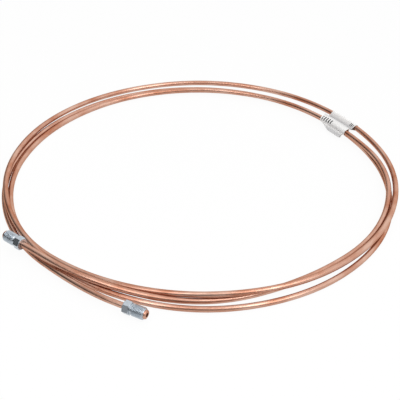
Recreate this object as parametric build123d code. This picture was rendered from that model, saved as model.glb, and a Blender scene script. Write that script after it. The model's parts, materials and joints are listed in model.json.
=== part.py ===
from build123d import *
from math import cos, radians, sin, tan
import os

# A ready-made copper brake line as it is sold: over three metres of tube, wound by hand into
# three loose turns, with a swivelling steel nut behind the flare at each end and two paper labels.
# Millimetres, +Z up. The coil lies on the plane Z = 0 and its box is centred on the Z axis.

# Tube
tube_diameter = 4.75
tube_wall = 0.7
coil_radius = 166.0

# Flare at each end of the tube
flare_diameter = 7.1
flare_length = 1.6
flare_land = 0.6

# Nut
thread_diameter = 9.5
nut_length = 17.6
hex_sides = 6
hex_flats = 9.5
hex_length = 5.8
relief_diameter = 8.2
relief_length = 1.4
nut_chamfer = 0.9
hex_chamfer = 0.8
nut_clearance = 0.18

# Paper labels: each a loose loop drawn out to a fold, the inner one with a free tail as well
label_length = 34.0
label_paper = 0.25
label_clearance = 0.2
inner_fold_reach = 5.4
outer_fold_reach = 6.2
tail_reach = 8.0

# How the turns lie. Going round from end A, a corner stands at every hour of a clock face seen from above,
# from seven o'clock backwards to eight, three times over. Each has a radial shift from the coil's circle
# and a height above the floor, in shares of the tube's diameter.
hours_round = 12
lay_shares = [
    # first turn: down from end A across the third, inside the others at the right and the back
    (-0.50, 1.72), (-0.48, 0.50), (-1.96, 0.50), (-0.35, 1.04), (-0.30, 1.80), (-2.82, 1.46),
    (-2.35, 1.20), (-2.00, 1.04), (-0.98, 0.62), (-0.72, 0.50), (-0.40, 0.50), (-0.28, 0.50),
    # second turn: innermost at the front, over both others at the right, outermost at the back
    (-2.18, 0.55), (-1.18, 1.68), (-0.06, 1.72), (0.58, 1.62), (1.04, 1.50), (0.96, 0.85),
    (2.10, 0.50), (2.40, 0.50), (2.25, 0.50), (1.10, 1.35), (0.58, 1.70), (-0.09, 1.60),
    # third turn: outermost at the front, under the second at the right, outermost again at the left
    (-0.18, 0.50), (1.15, 0.50), (1.30, 0.50), (0.92, 0.50), (-0.50, 0.50), (-1.78, 0.50),
    (-1.30, 0.50), (-0.62, 0.50), (-0.05, 0.50), (0.48, 0.50), (0.70, 0.50), (0.74, 0.50),
    # the last corner before end B
    (1.05, 1.40),
]
# The two tips: end A by its hour, end B by the share of an hour that it lies past the last corner, each with
# its shift and height as above. Bends take up this share of the runs beside them.
end_a_hour = 7.938
end_a_shares = (3.13, 2.85)
end_b_run_share = 0.612
end_b_shares = (4.05, 1.32)
bend_share = 0.48

# Where the labels sit: how far along the row of bends, and the share of that bend at each label's middle.
# Both are at two o'clock, one turn apart. The tail runs between two shares of its label's length.
inner_label_bend_share = 0.14
inner_label_middle_share = 0.62
outer_label_bend_share = 0.47
outer_label_middle_share = 0.675
tail_shares = (0.07, 0.70)

# Which way the folds and the tail point, turning from straight up outwards
inner_fold_angle = 45.0
outer_fold_angle = 266.0
tail_angle = 240.0

# The turn of each nut's flats about its own axis
nut_a_turn = 10.0
nut_b_turn = 5.0

tube_radius = tube_diameter / 2
bore_radius = tube_radius - tube_wall
hour_angle = 360 / hours_round
first_hour = int(end_a_hour)


def clock_point(hour, shift_share, height_share, radius_factor=1.0):
    """Point at a clock hour: shifted out from the coil's circle and lifted off the floor."""
    angle = radians(90 - hour * hour_angle)
    radius = (coil_radius + shift_share * tube_diameter) * radius_factor
    return Vector(radius * cos(angle), radius * sin(angle), height_share * tube_diameter)


def route_points():
    """Corners of the tube's centre line, from the tip at end A to the tip at end B."""
    corner_factor = 1 / cos(radians(hour_angle / 2))
    points = [clock_point(end_a_hour, *end_a_shares)]
    for step, (shift_share, height_share) in enumerate(lay_shares):
        points.append(clock_point(first_hour - step, shift_share, height_share, corner_factor))
    points.append(clock_point(first_hour - end_b_run_share, *end_b_shares))
    return points


def bend_radii(points):
    """The largest bend that fits each corner, leaving a short straight run between bends."""
    radii = []
    for before, corner, after in zip(points, points[1:], points[2:]):
        run_in = corner - before
        run_out = after - corner
        turn = radians(run_in.get_angle(run_out))
        radii.append(bend_share * min(run_in.length, run_out.length) / tan(turn / 2))
    return radii


def end_plane(tip, inner):
    """Plane at a tube end, facing out along the tube, with its X level."""
    axis = tip - inner
    return Plane(origin=tip, x_dir=Vector(0, 0, 1).cross(axis), z_dir=axis)


def flare_collar():
    """Rolled lip of the tube: flat at the back for the nut to pull on, domed at the front."""
    inner = (bore_radius + tube_radius) / 2
    outer = flare_diameter / 2
    shoulder = flare_land - flare_length
    with BuildPart() as collar:
        with BuildSketch(Plane.XZ):
            with BuildLine():
                Polyline((tube_radius, 0), (inner, 0), (inner, -flare_length), (outer, -flare_length),
                         (outer, shoulder))
                TangentArc((outer, shoulder), (tube_radius, 0), tangent=(0, 1))
            make_face()
        revolve(axis=Axis.Z)
    return collar.part


def nut_solid():
    """Male nut with its front face at Z = 0: hexagon, relief groove, threaded shank and through bore."""
    shank_length = nut_length - hex_length
    thread_radius = thread_diameter / 2
    relief_top = relief_length - shank_length
    hex_corner = hex_flats / 2 / cos(radians(180 / hex_sides))
    with BuildPart() as nut:
        with BuildSketch(Plane.XY.offset(-nut_length)):
            RegularPolygon(hex_flats / 2, hex_sides, major_radius=False)
        extrude(amount=hex_length)
        with BuildSketch(Plane.XZ):
            with BuildLine():
                Polyline((0, -nut_length), (hex_corner - hex_chamfer, -nut_length),
                         (hex_corner, hex_chamfer / 2 - nut_length),
                         (hex_corner, -shank_length - hex_chamfer / 2),
                         (hex_corner - hex_chamfer, -shank_length), (0, -shank_length), close=True)
            make_face()
        revolve(axis=Axis.Z, mode=Mode.INTERSECT)
        with BuildSketch(Plane.XZ):
            with BuildLine():
                Polyline((0, -shank_length), (relief_diameter / 2, -shank_length),
                         (relief_diameter / 2, relief_top), (thread_radius, relief_top),
                         (thread_radius, -nut_chamfer), (thread_radius - nut_chamfer, 0), (0, 0), close=True)
            make_face()
        revolve(axis=Axis.Z)
        with Locations((0, 0, -nut_length / 2)):
            Cylinder(tube_radius + nut_clearance, nut_length, mode=Mode.SUBTRACT)
    return nut.part


def drop(radius, reach, angle):
    """Outline of paper drawn round a tube: a circle with two tangents that meet at the fold."""
    touch = radius * radius / reach
    height = (radius * radius - touch * touch) ** 0.5
    fold = Polygon((touch, -height), (reach, 0), (touch, height), align=None)
    return Rot(0, 0, angle) * (Circle(radius) + fold)


def stretch_of(bend, middle_share, from_share, to_share):
    """Part of a bend that a label covers, or the part of it between two shares of the label's length."""
    length_share = label_length / bend.length
    label_start = middle_share - length_share / 2
    return bend.trim(label_start + from_share * length_share, label_start + to_share * length_share)


def swept(stretch, section):
    """Solid of a section carried along a stretch, the section's X starting straight up."""
    start = Plane(origin=stretch @ 0, x_dir=Vector(0, 0, 1), z_dir=stretch % 0)
    return sweep(start * section, path=stretch)


def label_solid(bend, middle_share, fold_reach, fold_angle):
    """Paper loop round the tube; it follows the bend."""
    inside = tube_radius + label_clearance
    outside = inside + label_paper
    # the paper is as thick along the tangents as round the tube
    inner_reach = fold_reach * inside / outside
    section = drop(outside, fold_reach, fold_angle) - drop(inside, inner_reach, fold_angle)
    return swept(stretch_of(bend, middle_share, 0, 1), section)


def tail_solid(bend, middle_share):
    """Free end of the inner label's paper, standing away from the loop."""
    root = tube_radius + label_clearance + label_paper / 2
    strip = Pos((root + tail_reach) / 2, 0) * Rectangle(tail_reach - root, label_paper)
    return swept(stretch_of(bend, middle_share, *tail_shares), Rot(0, 0, tail_angle) * strip)


points = route_points()
radii = bend_radii(points)
route = FilletPolyline(*points, radius=radii)
plane_a = end_plane(points[0], points[1])
plane_b = end_plane(points[-1], points[-2])
print("tube length", round(route.length, 1), "least bend", round(min(radii), 1))

section = plane_a * (Circle(tube_radius) - Circle(bore_radius))
tube = sweep(section, path=route)
expected = section.area * route.length
print("volume share of section times length", round(tube.volume / expected, 5))
collar = flare_collar()
tube = tube + plane_a * collar + plane_b * collar

nut = nut_solid()
seat = Pos(0, 0, -flare_length)
nut_a = plane_a * seat * Rot(0, 0, nut_a_turn) * nut
nut_b = plane_b * seat * Rot(0, 0, nut_b_turn) * nut

bends = route.edges().filter_by(GeomType.CIRCLE)
inner_bend = bends[int(inner_label_bend_share * len(bends))]
outer_bend = bends[int(outer_label_bend_share * len(bends))]
label_inner = (label_solid(inner_bend, inner_label_middle_share, inner_fold_reach, inner_fold_angle)
               + tail_solid(inner_bend, inner_label_middle_share))
label_outer = label_solid(outer_bend, outer_label_middle_share, outer_fold_reach, outer_fold_angle)

nodes = {
    "tube": tube,
    "nut_a": nut_a,
    "nut_b": nut_b,
    "label_inner": label_inner,
    "label_outer": label_outer,
}

# Centre the box on the Z axis
box = Compound(children=[Compound(part.wrapped) for part in nodes.values()]).bounding_box()
middle = box.center()
to_centre = Pos(-middle.X, -middle.Y, 0)

os.makedirs("parts", exist_ok=True)
for name, part in nodes.items():
    export_step(to_centre * part, f"parts/{name}.step")
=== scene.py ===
import json
import math

import bpy
import numpy as np
from mathutils import Matrix, Vector


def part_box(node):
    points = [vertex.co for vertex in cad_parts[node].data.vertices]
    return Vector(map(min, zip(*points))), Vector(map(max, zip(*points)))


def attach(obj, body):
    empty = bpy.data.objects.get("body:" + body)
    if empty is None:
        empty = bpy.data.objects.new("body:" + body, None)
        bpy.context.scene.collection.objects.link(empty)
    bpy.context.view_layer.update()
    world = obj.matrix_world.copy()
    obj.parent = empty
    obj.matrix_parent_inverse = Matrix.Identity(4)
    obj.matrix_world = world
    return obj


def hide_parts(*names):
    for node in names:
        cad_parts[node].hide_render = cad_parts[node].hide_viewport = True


# A ready-made copper brake line dressed over its solids: tube with flares, two threaded nuts, two labels.
# Metres, in the solids' own frame.
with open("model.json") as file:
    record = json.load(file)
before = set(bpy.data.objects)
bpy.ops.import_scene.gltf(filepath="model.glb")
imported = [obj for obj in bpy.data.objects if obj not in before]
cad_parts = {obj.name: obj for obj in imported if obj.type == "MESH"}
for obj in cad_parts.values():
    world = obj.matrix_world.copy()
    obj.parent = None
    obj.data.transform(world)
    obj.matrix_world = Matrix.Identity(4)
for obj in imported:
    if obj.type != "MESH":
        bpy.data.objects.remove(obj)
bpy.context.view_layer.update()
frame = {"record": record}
mm = 0.001

# Tube and flare
tube_radius = 4.75 * mm / 2
bore_radius = tube_radius - 0.7 * mm
coil_radius = 166.0 * mm
flare_radius = 7.1 * mm / 2
flare_length = 1.6 * mm
flare_land = 0.6 * mm
tube_sides = 24
line_steps = 26
dome_steps = 6
tube_smooth_angle = 40.0

# Nut
thread_radius = 9.5 * mm / 2
thread_pitch = 1.06 * mm
thread_depth = 0.6 * mm
thread_crest_share = 0.2
thread_flank_share = 0.6
nut_length = 17.6 * mm
hex_sides = 6
hex_flats = 9.5 * mm
hex_length = 5.8 * mm
relief_radius = 8.2 * mm / 2
relief_length = 1.4 * mm
nut_chamfer = 0.9 * mm
hex_chamfer = 0.8 * mm
hex_chamfer_slope = 2
nut_clearance = 0.18 * mm
nut_turns = {"nut_a": 10.0, "nut_b": 5.0}
nut_sides = 72
hex_rings = 14
rings_per_pitch = 10
nut_smooth_angle = 32.0

# Labels: how far each fold reaches and which way it points, turning from straight up outwards
label_length = 34.0 * mm
label_paper = 0.25 * mm
label_clearance = 0.2 * mm
label_folds = {"label_inner": (5.4 * mm, 45.0), "label_outer": (6.2 * mm, 266.0)}
label_rings = 40
wrap_points = 40
fold_points = 8
paper_smooth_angle = 50.0

# What is printed on the labels, plain bars: their middle and half length along the label and across it
# towards the fold, the side of the paper, their spacing and their shade
label_bars = {
    "label_inner": {"along": (9.0 * mm, 6.4 * mm), "across": (0.7 * mm, 2.2 * mm), "side": -1,
                    "pitch": 2.9 * mm, "bar_share": 0.45, "shade": 0.02},
    "label_outer": {"along": (-13.0 * mm, 2.6 * mm), "across": (2.4 * mm, 1.5 * mm), "side": 1,
                    "pitch": 2.0 * mm, "bar_share": 0.55, "shade": 0.1},
}

# The painted shade along each fold, a grey that deepens towards the fold: its width, and how far it turns
# to that grey
label_fold_shades = {"label_inner": (1.6 * mm, 0.6), "label_outer": (5.2 * mm, 0.95)}

# The inner label's tail: two layers of paper that spread a little towards their free edge. It runs between
# two shares of the label's length, with its full width up to a third share, and narrows to the least one.
tail_reaches = (8.0 * mm, 7.2 * mm)
tail_angles = (240.0, 228.0)
tail_shares = (0.07, 0.98)
tail_full_share = 0.55
tail_least_share = 0.06
tail_points = 6

# How the turns lie, as in the solids: a radial shift from the coil's circle and a height, in shares of the
# tube's diameter, at every hour of a clock face seen from above, from seven backwards to eight. Each tip
# has the same two shares, and the tube is straight beside it for a share of the run.
hours_round = 12
lay_shares = [
    # first turn
    (-0.50, 1.72), (-0.48, 0.50), (-1.96, 0.50), (-0.35, 1.04), (-0.30, 1.80), (-2.82, 1.46),
    (-2.35, 1.20), (-2.00, 1.04), (-0.98, 0.62), (-0.72, 0.50), (-0.40, 0.50), (-0.28, 0.50),
    # second turn
    (-2.18, 0.55), (-1.18, 1.68), (-0.06, 1.72), (0.58, 1.62), (1.04, 1.50), (0.96, 0.85),
    (2.10, 0.50), (2.40, 0.50), (2.25, 0.50), (1.10, 1.35), (0.58, 1.70), (-0.09, 1.60),
    # third turn
    (-0.18, 0.50), (1.15, 0.50), (1.30, 0.50), (0.92, 0.50), (-0.50, 0.50), (-1.78, 0.50),
    (-1.30, 0.50), (-0.62, 0.50), (-0.05, 0.50), (0.48, 0.50), (0.70, 0.50), (0.74, 0.50),
    # the last corner before end B
    (1.05, 1.40),
]
end_a_hour = 7.938
end_a_shares = (3.13, 2.85)
end_b_run_share = 0.612
end_b_shares = (4.05, 1.32)
straight_end_share = 0.06

# Camera, in the frame of the coil's circle
camera_rise = 35.38
camera_distance = 791.0 * mm
camera_aim = (0.66 * mm, -29.6 * mm, 0)
camera_lens = 82.97
sensor_width = 36.0

# Copper: bright metal with dull patches and dark die lines, both drawn out along the tube
copper_bright = (0.64, 0.41, 0.32)
copper_dull = (0.45, 0.18, 0.105)
copper_line = (0.32, 0.11, 0.06)
copper_edge = (0.78, 0.55, 0.43)
copper_roughness = (0.28, 0.40)
patch_scale = 90.0
patch_stretch = (1, 1, 0.35)
patch_range = (0.38, 0.68)
die_line_scale = 2600.0
die_line_stretch = (1, 1, 0.012)
die_line_range = (0.5, 0.75)
die_line_share = 0.3
die_line_bump = (0.04, 0.05 * mm)

# Zinc plate: faint clouds and a fine grain
zinc_bright = (0.52, 0.57, 0.62)
zinc_dull = (0.42, 0.46, 0.50)
zinc_roughness = (0.24, 0.36)
cloud_scale = 320.0
cloud_range = (0.35, 0.7)
grain_scale = 5200.0
grain_bump = (0.06, 0.03 * mm)

# Paper: soft shades along the label, a faint fibre and a painted shade along each fold
paper_white = (0.85, 0.84, 0.83)
paper_grey = (0.78, 0.77, 0.76)
# the grey of the painted shade along each fold
fold_shade_grey = (0.42, 0.42, 0.43)
paper_roughness = 0.6
shade_scale = 140.0
shade_stretch = (1, 1, 0.5)
shade_range = (0.35, 0.7)
fibre_scale = 1200.0
fibre_bump = (0.04, 0.05 * mm)

# Noises: the range over which the roughness changes, and the detail of blotches and of fine marks
dull_range = (0.3, 0.75)
blotch_detail = 5.0
blotch_roughness = 0.6
fine_detail = 4.0

# Stage: a white floor, a room that is bright towards one way and dark towards the other, and two soft boxes
# over the camera, one on each side
floor_size = 24.0
floor_white_share = 0.94
floor_colour = (0.8, 0.8, 0.8)
room_bright_way = (0.64, 0.32, 0.70)
room_dot_range = (-0.15, 0.72)
room_levels = (0.07, 1.14)
softbox_sizes = (0.42, 0.95)
softbox_power = 4.0
softbox_places = {"softbox_right": (0.48, -0.60, 0.88), "softbox_left": (-0.48, -0.60, 0.88)}

hour_angle = 360 / hours_round
first_hour = int(end_a_hour)
shank_length = nut_length - hex_length
thread_length = shank_length - relief_length - nut_chamfer


# The route
def clock_point(hour, shift_share, height_share, radius_factor=1.0):
    """Point at a clock hour: shifted out from the coil's circle and lifted off the floor."""
    angle = math.radians(90 - hour * hour_angle)
    radius = (coil_radius + shift_share * 2 * tube_radius) * radius_factor
    return np.array([radius * math.cos(angle), radius * math.sin(angle), height_share * 2 * tube_radius])


def route_points():
    """Corners of the tube's centre line, with one more point near each tip to keep the ends straight."""
    corner_factor = 1 / math.cos(math.radians(hour_angle / 2))
    corners = [clock_point(end_a_hour, *end_a_shares)]
    for step, (shift_share, height_share) in enumerate(lay_shares):
        corners.append(clock_point(first_hour - step, shift_share, height_share, corner_factor))
    corners.append(clock_point(first_hour - end_b_run_share, *end_b_shares))
    near_a = corners[0] + straight_end_share * (corners[1] - corners[0])
    near_b = corners[-1] + straight_end_share * (corners[-2] - corners[-1])
    return [corners[0], near_a, *corners[1:-1], near_b, corners[-1]]


def smooth_line(points):
    """Points along a smooth spline that has these points as its control points."""
    curve = bpy.data.curves.new("route", "CURVE")
    curve.dimensions = "3D"
    curve.resolution_u = line_steps
    spline = curve.splines.new("NURBS")
    spline.points.add(len(points) - 1)
    for place, point in zip(spline.points, points):
        place.co = (*point, 1)
    spline.order_u = 3
    spline.use_endpoint_u = True
    holder = bpy.data.objects.new("route", curve)
    bpy.context.scene.collection.objects.link(holder)
    depsgraph = bpy.context.evaluated_depsgraph_get()
    mesh = bpy.data.meshes.new_from_object(holder.evaluated_get(depsgraph))
    line = np.array([vertex.co for vertex in mesh.vertices])
    bpy.data.objects.remove(holder)
    bpy.data.curves.remove(curve)
    bpy.data.meshes.remove(mesh)
    return line


def unit(vectors):
    """Vectors of the same directions and of length one."""
    return vectors / np.linalg.norm(vectors, axis=-1, keepdims=True)


def running_length(line):
    """Length along a line at each of its points."""
    return np.concatenate([[0], np.cumsum(np.linalg.norm(np.diff(line, axis=0), axis=1))])


def points_at(line, lengths):
    """Places and directions at given lengths along a line."""
    along = running_length(line)
    ways = unit(np.gradient(line, along, axis=0))
    places = np.stack([np.interp(lengths, along, line[:, k]) for k in range(3)], axis=1)
    return places, unit(np.stack([np.interp(lengths, along, ways[:, k]) for k in range(3)], axis=1))


def side_frames(ways):
    """Two cross directions at each way, turned as little as possible from one to the next."""
    first = unit(np.cross(ways[0], (0, 0, 1)))
    sides = [first]
    for way in ways[1:]:
        sides.append(unit(sides[-1] - np.dot(sides[-1], way) * way))
    sides = np.array(sides)
    return sides, np.cross(ways, sides)


# Meshes
def loop_faces(ring_count, side_count, joined):
    """Four-sided faces between rings of points; the last ring joins the first, or both ends are closed."""
    ring = np.arange(ring_count if joined else ring_count - 1)[:, None]
    side = np.arange(side_count)[None, :]
    next_ring = (ring + 1) % ring_count
    next_side = (side + 1) % side_count
    corners = [ring * side_count + side, ring * side_count + next_side,
               next_ring * side_count + next_side, next_ring * side_count + side]
    faces = np.stack([np.broadcast_to(c, (len(ring), side_count)) for c in corners], axis=2)
    faces = faces.reshape(-1, 4).tolist()
    if not joined:
        faces.append(list(range(side_count))[::-1])
        faces.append(list(range((ring_count - 1) * side_count, ring_count * side_count)))
    return faces


def loop_mesh(name, blocks, smooth_angle):
    """Object made of closed skins, each from rings of points with their straight coordinates."""
    points = []
    lays = []
    faces = []
    for rings, lay, joined in blocks:
        ring_count, side_count, _ = rings.shape
        first = len(points)
        for face in loop_faces(ring_count, side_count, joined):
            faces.append([first + corner for corner in face])
        points += rings.reshape(-1, 3).tolist()
        lays.append(lay.reshape(-1))
    mesh = bpy.data.meshes.new(name)
    mesh.from_pydata(points, [], faces)
    attribute = mesh.attributes.new("lay", "FLOAT_VECTOR", "POINT")
    attribute.data.foreach_set("vector", np.concatenate(lays).astype(np.float32))
    mesh.polygons.foreach_set("use_smooth", np.ones(len(mesh.polygons), bool))
    mesh.set_sharp_from_angle(angle=math.radians(smooth_angle))
    mesh.update()
    piece = bpy.data.objects.new(name, mesh)
    bpy.context.scene.collection.objects.link(piece)
    return piece


def tube_piece(line):
    """The whole tube: outside with both flares, then back along the bore."""
    along = running_length(line)
    length = along[-1]
    dome = np.linspace(0, math.pi / 2, dome_steps)
    dome_depth = flare_length - flare_land
    tip_lengths = np.concatenate([dome_depth * (1 - np.cos(dome)), [flare_length, flare_length]])
    tip_radii = np.concatenate([tube_radius + (flare_radius - tube_radius) * np.sin(dome),
                                [flare_radius, tube_radius]])
    plain = along[(along > 2 * flare_length) & (along < length - 2 * flare_length)]
    outside = np.concatenate([tip_lengths, plain, length - tip_lengths[::-1]])
    outside_radii = np.concatenate([tip_radii, np.full(len(plain), tube_radius), tip_radii[::-1]])
    inside = np.concatenate([[length], plain[::-1], [0]])
    lengths = np.concatenate([outside, inside])
    radii = np.concatenate([outside_radii, np.full(len(inside), bore_radius)])

    fine = np.unique(lengths)
    places, ways = points_at(line, fine)
    sides, ups = side_frames(ways)
    index = np.searchsorted(fine, lengths)
    turn = np.linspace(0, 2 * math.pi, tube_sides, endpoint=False)
    across = np.cos(turn)[None, :, None] * sides[index][:, None, :]
    upward = np.sin(turn)[None, :, None] * ups[index][:, None, :]
    rings = places[index][:, None, :] + radii[:, None, None] * (across + upward)
    lay = np.stack([radii[:, None] * np.cos(turn), radii[:, None] * np.sin(turn),
                    np.broadcast_to(lengths[:, None], (len(lengths), tube_sides))], axis=2)
    return loop_mesh("copper_tube", [(rings, lay, True)], tube_smooth_angle)


def thread_dip(z, turn):
    """How far the thread's surface lies below its crest, for a right-hand thread."""
    phase = (z / thread_pitch - turn / (2 * math.pi)) % 1
    flank = np.clip((np.abs(2 * phase - 1) - thread_crest_share) / thread_flank_share, 0, 1)
    return thread_depth * flank


def nut_piece(name):
    """Male nut with its front face at Z = 0: hexagon, relief groove, helical thread and through bore."""
    turn = np.linspace(0, 2 * math.pi, nut_sides, endpoint=False)
    corner_gap = 2 * math.pi / hex_sides
    hex_radius = hex_flats / 2 / np.cos(turn % corner_gap - corner_gap / 2)
    corner = hex_flats / 2 / math.cos(corner_gap / 2)
    inside = tube_radius + nut_clearance
    rows = [(-nut_length, np.full(nut_sides, inside))]
    for z in np.linspace(-nut_length, -shank_length, hex_rings):
        from_end = min(z + nut_length, -shank_length - z)
        rows.append((z, np.minimum(hex_radius, corner - hex_chamfer + hex_chamfer_slope * from_end)))
    rows.append((-shank_length, np.full(nut_sides, relief_radius)))
    relief_top = relief_length - shank_length
    rows.append((relief_top, np.full(nut_sides, relief_radius)))
    ring_count = int((thread_length + nut_chamfer) / thread_pitch * rings_per_pitch)
    for z in np.linspace(relief_top, 0, ring_count):
        run_in = np.clip((z - relief_top) / thread_pitch, 0, 1)
        crest = thread_radius - (thread_radius - relief_radius) * (1 - run_in)
        dip = thread_dip(z, turn) * run_in
        chamfer = thread_radius - nut_chamfer - z
        rows.append((z, np.minimum(crest - dip, chamfer)))
    rows.append((0, np.full(nut_sides, inside)))
    rings = []
    for z, radius in rows:
        rings.append(np.column_stack([radius * np.cos(turn), radius * np.sin(turn), np.full(nut_sides, z)]))
    rings = np.array(rings)
    return loop_mesh(name, [(rings, rings, True)], nut_smooth_angle)


def place_nut(piece, tip, way, turn):
    """Sets a nut behind the flare, its hexagon turned from the level."""
    level = unit(np.cross((0, 0, 1), way))
    front = tip - flare_length * way
    rise = np.cross(way, level)
    turn = math.radians(turn)
    x_way = math.cos(turn) * level + math.sin(turn) * rise
    y_way = np.cross(way, x_way)
    matrix = Matrix.Identity(4)
    for row in range(3):
        matrix[row][0] = x_way[row]
        matrix[row][1] = y_way[row]
        matrix[row][2] = way[row]
        matrix[row][3] = front[row]
    piece.data.transform(matrix)


def drop_outline(radius, reach):
    """Paper drawn round a tube, in its own plane: an arc, then two tangents that meet at a fold on +X."""
    touch = math.acos(radius / reach)
    wrap = np.linspace(touch, 2 * math.pi - touch, wrap_points)
    arc = np.stack([radius * np.cos(wrap), radius * np.sin(wrap)], axis=1)
    share = np.linspace(0, 1, fold_points)[1:, None]
    fold = np.array([[reach, 0]])
    there = arc[-1:] * (1 - share) + fold * share
    back = fold * (1 - share[:-1]) + arc[:1] * share[:-1]
    return np.concatenate([arc, there, back])


def turned(shape, up, outward, angle):
    """Vectors of a flat shape whose +X points at an angle from straight up outwards."""
    x_way = math.cos(angle) * up + math.sin(angle) * outward
    y_way = math.cos(angle) * outward - math.sin(angle) * up
    return shape[:, :1] * x_way + shape[:, 1:] * y_way


def label_loop(places, ups, outwards, lengths, reach, angle):
    """Skin of the paper loop: along its outside, then back along its inside."""
    inside = tube_radius + label_clearance
    outside = inside + label_paper
    outer = drop_outline(outside, reach)
    inner = drop_outline(inside, reach * inside / outside)
    rings = []
    lay = []
    for shape, order in ((outer, range(label_rings)), (inner, reversed(range(label_rings)))):
        for k in order:
            rings.append(places[k] + turned(shape, ups[k], outwards[k], angle))
            lay.append(np.column_stack([shape, np.full(len(shape), lengths[k])]))
    return np.array(rings), np.array(lay), True


def label_tail(places, ups, outwards, lengths, reach, angle):
    """Skin of one layer of the tail, which narrows to nothing along the label."""
    root = tube_radius + label_clearance + label_paper / 2
    half = label_paper / 2
    rings = []
    lay = []
    share = np.linspace(0, 1, label_rings)
    for k in np.flatnonzero((share >= tail_shares[0]) & (share <= tail_shares[1])):
        width_share = min(1, (tail_shares[1] - share[k]) / (tail_shares[1] - tail_full_share))
        width = (reach - root) * max(width_share, tail_least_share)
        x = np.linspace(root, root + width, tail_points)
        shape = np.concatenate([np.stack([x, np.full(tail_points, -half)], axis=1),
                                np.stack([x[::-1], np.full(tail_points, half)], axis=1)])
        rings.append(places[k] + turned(shape, ups[k], outwards[k], angle))
        lay.append(np.column_stack([shape, np.full(len(shape), lengths[k])]))
    return np.array(rings), np.array(lay), False


def label_piece(name, line):
    """Paper round the tube: a loose loop drawn out to a fold, and the inner label's tail."""
    reach, angle = label_folds[name]
    low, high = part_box(name)
    middle = np.array((low + high) / 2)
    along = running_length(line)
    nearest = along[np.argmin(np.linalg.norm(line - middle, axis=1))]
    lengths = np.linspace(-label_length / 2, label_length / 2, label_rings)
    places, ways = points_at(line, nearest + lengths)
    outwards = unit(places * (1, 1, 0))
    outwards = unit(outwards - np.sum(outwards * ways, axis=1, keepdims=True) * ways)
    ups = np.cross(outwards, ways)
    ups = ups * np.sign(ups[:, 2:3])
    blocks = [label_loop(places, ups, outwards, lengths, reach, math.radians(angle))]
    if name == "label_inner":
        for tail_reach, tail_angle in zip(tail_reaches, tail_angles):
            blocks.append(label_tail(places, ups, outwards, lengths, tail_reach, math.radians(tail_angle)))
    return loop_mesh(name + "_paper", blocks, paper_smooth_angle)


# Materials
class Nodes:
    """A material's node tree with short calls to add and join nodes."""

    # the colour sockets of a Mix node
    mix_inputs = (6, 7)
    mix_output = 2

    def __init__(self, name):
        self.material = bpy.data.materials.new(name)
        self.material.use_nodes = True
        self.tree = self.material.node_tree
        self.tree.nodes.clear()

    def add(self, kind, settings=None, inputs=None):
        node = self.tree.nodes.new(kind)
        for key, value in (settings or {}).items():
            setattr(node, key, value)
        for key, value in (inputs or {}).items():
            self.put(node, key, value)
        return node

    def put(self, node, key, value):
        if isinstance(value, bpy.types.NodeSocket):
            self.tree.links.new(value, node.inputs[key])
        else:
            node.inputs[key].default_value = value

    def lay(self, stretch=(1, 1, 1)):
        """Coordinates of the piece laid out straight, in metres."""
        source = self.add("ShaderNodeAttribute", {"attribute_name": "lay"})
        vector = source.outputs["Vector"]
        return self.add("ShaderNodeMapping", inputs={"Vector": vector, "Scale": stretch}).outputs["Vector"]

    def noise(self, vector, scale, detail=3.0, rough=0.5):
        node = self.add("ShaderNodeTexNoise", inputs={"Vector": vector, "Scale": scale, "Detail": detail,
                                                      "Roughness": rough})
        return node.outputs["Fac"]

    def spread(self, value, span, to_span=(0.0, 1.0)):
        """Value carried from one span of numbers to another, and held at its ends."""
        low, high = span
        to_low, to_high = to_span
        node = self.add("ShaderNodeMapRange", inputs={"Value": value, "From Min": low, "From Max": high,
                                                      "To Min": to_low, "To Max": to_high})
        return node.outputs["Result"]

    def blend(self, share, first, second):
        """Colour that goes from the first to the second as the share goes from 0 to 1."""
        node = self.add("ShaderNodeMix", {"data_type": "RGBA"}, {"Factor": share})
        for key, colour in zip(self.mix_inputs, (first, second)):
            self.put(node, key, (*colour, 1) if isinstance(colour, tuple) else colour)
        return node.outputs[self.mix_output]

    def calc(self, operation, *values):
        node = self.add("ShaderNodeMath", {"operation": operation})
        for k, value in enumerate(values):
            self.put(node, k, value)
        return node.outputs[0]

    def bump(self, height, strength, depth):
        inputs = {"Height": height, "Strength": strength, "Distance": depth}
        return self.add("ShaderNodeBump", inputs=inputs).outputs["Normal"]

    def finish(self, **inputs):
        shader = self.add("ShaderNodeBsdfPrincipled")
        for key, value in inputs.items():
            self.put(shader, key.replace("_", " "), value)
        out = self.add("ShaderNodeOutputMaterial")
        self.tree.links.new(shader.outputs["BSDF"], out.inputs["Surface"])
        return self.material


def copper_material():
    """Drawn copper: bright metal with die lines along it and faint dull patches."""
    nodes = Nodes("copper")
    lines = nodes.noise(nodes.lay(die_line_stretch), die_line_scale, fine_detail)
    dull = nodes.noise(nodes.lay(patch_stretch), patch_scale, blotch_detail, blotch_roughness)
    colour = nodes.blend(nodes.spread(dull, patch_range), copper_bright, copper_dull)
    line_share = nodes.spread(lines, die_line_range, (0.0, die_line_share))
    colour = nodes.blend(line_share, colour, copper_line)
    rough = nodes.spread(dull, dull_range, copper_roughness)
    return nodes.finish(Base_Color=colour, Metallic=1.0, Roughness=rough, Specular_Tint=(*copper_edge, 1),
                        Normal=nodes.bump(lines, *die_line_bump))


def zinc_material():
    """Bright zinc plate on turned steel."""
    nodes = Nodes("zinc_plate")
    cloud = nodes.noise(nodes.lay(), cloud_scale, blotch_detail, blotch_roughness)
    grain = nodes.noise(nodes.lay(), grain_scale)
    colour = nodes.blend(nodes.spread(cloud, cloud_range), zinc_bright, zinc_dull)
    rough = nodes.spread(cloud, dull_range, zinc_roughness)
    return nodes.finish(Base_Color=colour, Metallic=1.0, Roughness=rough,
                        Normal=nodes.bump(grain, *grain_bump))


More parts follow.
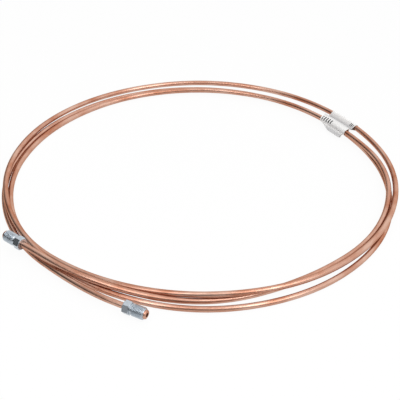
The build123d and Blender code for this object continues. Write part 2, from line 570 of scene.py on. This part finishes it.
def paper_material(name):
    """White label paper with a faint fibre, a painted shade along its fold and a few plain printed bars."""
    nodes = Nodes(name + "_paper")
    fibre = nodes.noise(nodes.lay(), fibre_scale, fine_detail)
    shade = nodes.noise(nodes.lay(shade_stretch), shade_scale)
    colour = nodes.blend(nodes.spread(shade, shade_range), paper_white, paper_grey)
    place = nodes.add("ShaderNodeSeparateXYZ", inputs={"Vector": nodes.lay()})
    across, through, along = (place.outputs[axis] for axis in "XYZ")
    reach = label_folds[name][0]
    fold_shade_width, fold_shade_share = label_fold_shades[name]
    # painted shade: the paper turns grey towards the fold, where shade falls between the labels
    fold_shade = nodes.spread(across, (reach - fold_shade_width, reach), (0.0, fold_shade_share))
    colour = nodes.blend(fold_shade, colour, fold_shade_grey)
    bars = label_bars[name]
    row = nodes.calc("FRACT", nodes.calc("DIVIDE", along, bars["pitch"]))
    dark = nodes.calc("LESS_THAN", row, bars["bar_share"])
    for limit in (nodes.calc("COMPARE", along, *bars["along"]),
                  nodes.calc("COMPARE", across, *bars["across"]),
                  nodes.calc("GREATER_THAN", nodes.calc("MULTIPLY", through, bars["side"]), 0.0)):
        dark = nodes.calc("MULTIPLY", dark, limit)
    colour = nodes.blend(dark, colour, (bars["shade"],) * 3)
    return nodes.finish(Base_Color=colour, Roughness=paper_roughness, Normal=nodes.bump(fibre, *fibre_bump))


# Stage
def white_floor():
    """A plain floor that looks white, keeps a faint shadow and lights the object as a pale grey one."""
    half = floor_size / 2
    corners = [(-half, -half, 0), (half, -half, 0), (half, half, 0), (-half, half, 0)]
    mesh = bpy.data.meshes.new("floor")
    mesh.from_pydata(corners, [], [(0, 1, 2, 3)])
    floor = bpy.data.objects.new("floor", mesh)
    bpy.context.scene.collection.objects.link(floor)
    nodes = Nodes("floor")
    path = nodes.add("ShaderNodeLightPath")
    seen = nodes.calc("MAXIMUM", path.outputs["Is Camera Ray"], path.outputs["Is Glossy Ray"])
    seen = nodes.calc("MAXIMUM", seen, path.outputs["Is Transmission Ray"])
    share = nodes.calc("MULTIPLY", seen, floor_white_share)
    matt = nodes.add("ShaderNodeBsdfDiffuse", inputs={"Color": (*floor_colour, 1)})
    white = nodes.add("ShaderNodeEmission", inputs={"Color": (1, 1, 1, 1), "Strength": 1.0})
    both = nodes.add("ShaderNodeMixShader", inputs={0: share, 1: matt.outputs[0], 2: white.outputs[0]})
    out = nodes.add("ShaderNodeOutputMaterial")
    nodes.tree.links.new(both.outputs[0], out.inputs["Surface"])
    floor.data.materials.append(nodes.material)


def studio_world():
    """A room brighter towards one way."""
    world = bpy.data.worlds.new("studio")
    bpy.context.scene.world = world
    world.use_nodes = True
    tree = world.node_tree
    tree.nodes.clear()
    place = tree.nodes.new("ShaderNodeTexCoord")
    facing = tree.nodes.new("ShaderNodeVectorMath")
    facing.operation = "DOT_PRODUCT"
    facing.inputs[1].default_value = Vector(room_bright_way).normalized()
    level = tree.nodes.new("ShaderNodeMapRange")
    level.interpolation_type = "SMOOTHSTEP"
    level.inputs["From Min"].default_value, level.inputs["From Max"].default_value = room_dot_range
    level.inputs["To Min"].default_value, level.inputs["To Max"].default_value = room_levels
    back = tree.nodes.new("ShaderNodeBackground")
    out = tree.nodes.new("ShaderNodeOutputWorld")
    tree.links.new(place.outputs["Generated"], facing.inputs[0])
    tree.links.new(facing.outputs["Value"], level.inputs["Value"])
    tree.links.new(level.outputs["Result"], back.inputs["Color"])
    tree.links.new(back.outputs[0], out.inputs["Surface"])


def area_lamp(name, place, sizes, power):
    """A soft box that faces the origin."""
    lamp = bpy.data.lights.new(name, "AREA")
    lamp.shape = "RECTANGLE"
    lamp.size, lamp.size_y = sizes
    lamp.energy = power
    holder = bpy.data.objects.new(name, lamp)
    bpy.context.scene.collection.objects.link(holder)
    holder.location = place
    holder.rotation_euler = (-Vector(place)).to_track_quat("-Z", "Y").to_euler()


def photo_camera(shift):
    """Camera at the photograph's angle, moved with the coil's circle."""
    camera = bpy.data.cameras.new("camera")
    camera.lens = camera_lens
    camera.sensor_width = sensor_width
    holder = bpy.data.objects.new("camera", camera)
    bpy.context.scene.collection.objects.link(holder)
    rise = math.radians(camera_rise)
    back = camera_distance * np.array([0, -math.cos(rise), math.sin(rise)])
    holder.location = np.array(camera_aim) + back + shift
    holder.rotation_euler = (math.pi / 2 - rise, 0, 0)
    bpy.context.scene.camera = holder


# The model
route = route_points()
tip_a, tip_b = route[0], route[-1]
way_a = unit(route[0] - route[1])
way_b = unit(route[-1] - route[-2])
pins = {mount["name"]: np.array(mount["pos_m"]) for mount in frame["record"]["mounts"]}
thread_middle = tip_a - way_a * (flare_length + nut_chamfer + thread_length / 2)
shift = (pins["nut_a_thread"] - thread_middle) * (1, 1, 0)
line = smooth_line(route) + shift

copper = copper_material()
zinc = zinc_material()

tube = tube_piece(line)
tube.data.materials.append(copper)
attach(tube, "coil")
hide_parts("tube")

for name, tip, way in (("nut_a", tip_a + shift, way_a), ("nut_b", tip_b + shift, way_b)):
    nut = nut_piece(name + "_threaded")
    place_nut(nut, tip, way, nut_turns[name])
    nut.data.materials.append(zinc)
    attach(nut, name)
    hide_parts(name)

for name in label_folds:
    label = label_piece(name, line)
    label.data.materials.append(paper_material(name))
    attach(label, "coil")
    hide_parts(name)

white_floor()
studio_world()
for name, place in softbox_places.items():
    area_lamp(name, place, softbox_sizes, softbox_power)
photo_camera(shift)
bpy.context.scene.view_settings.view_transform = "Standard"
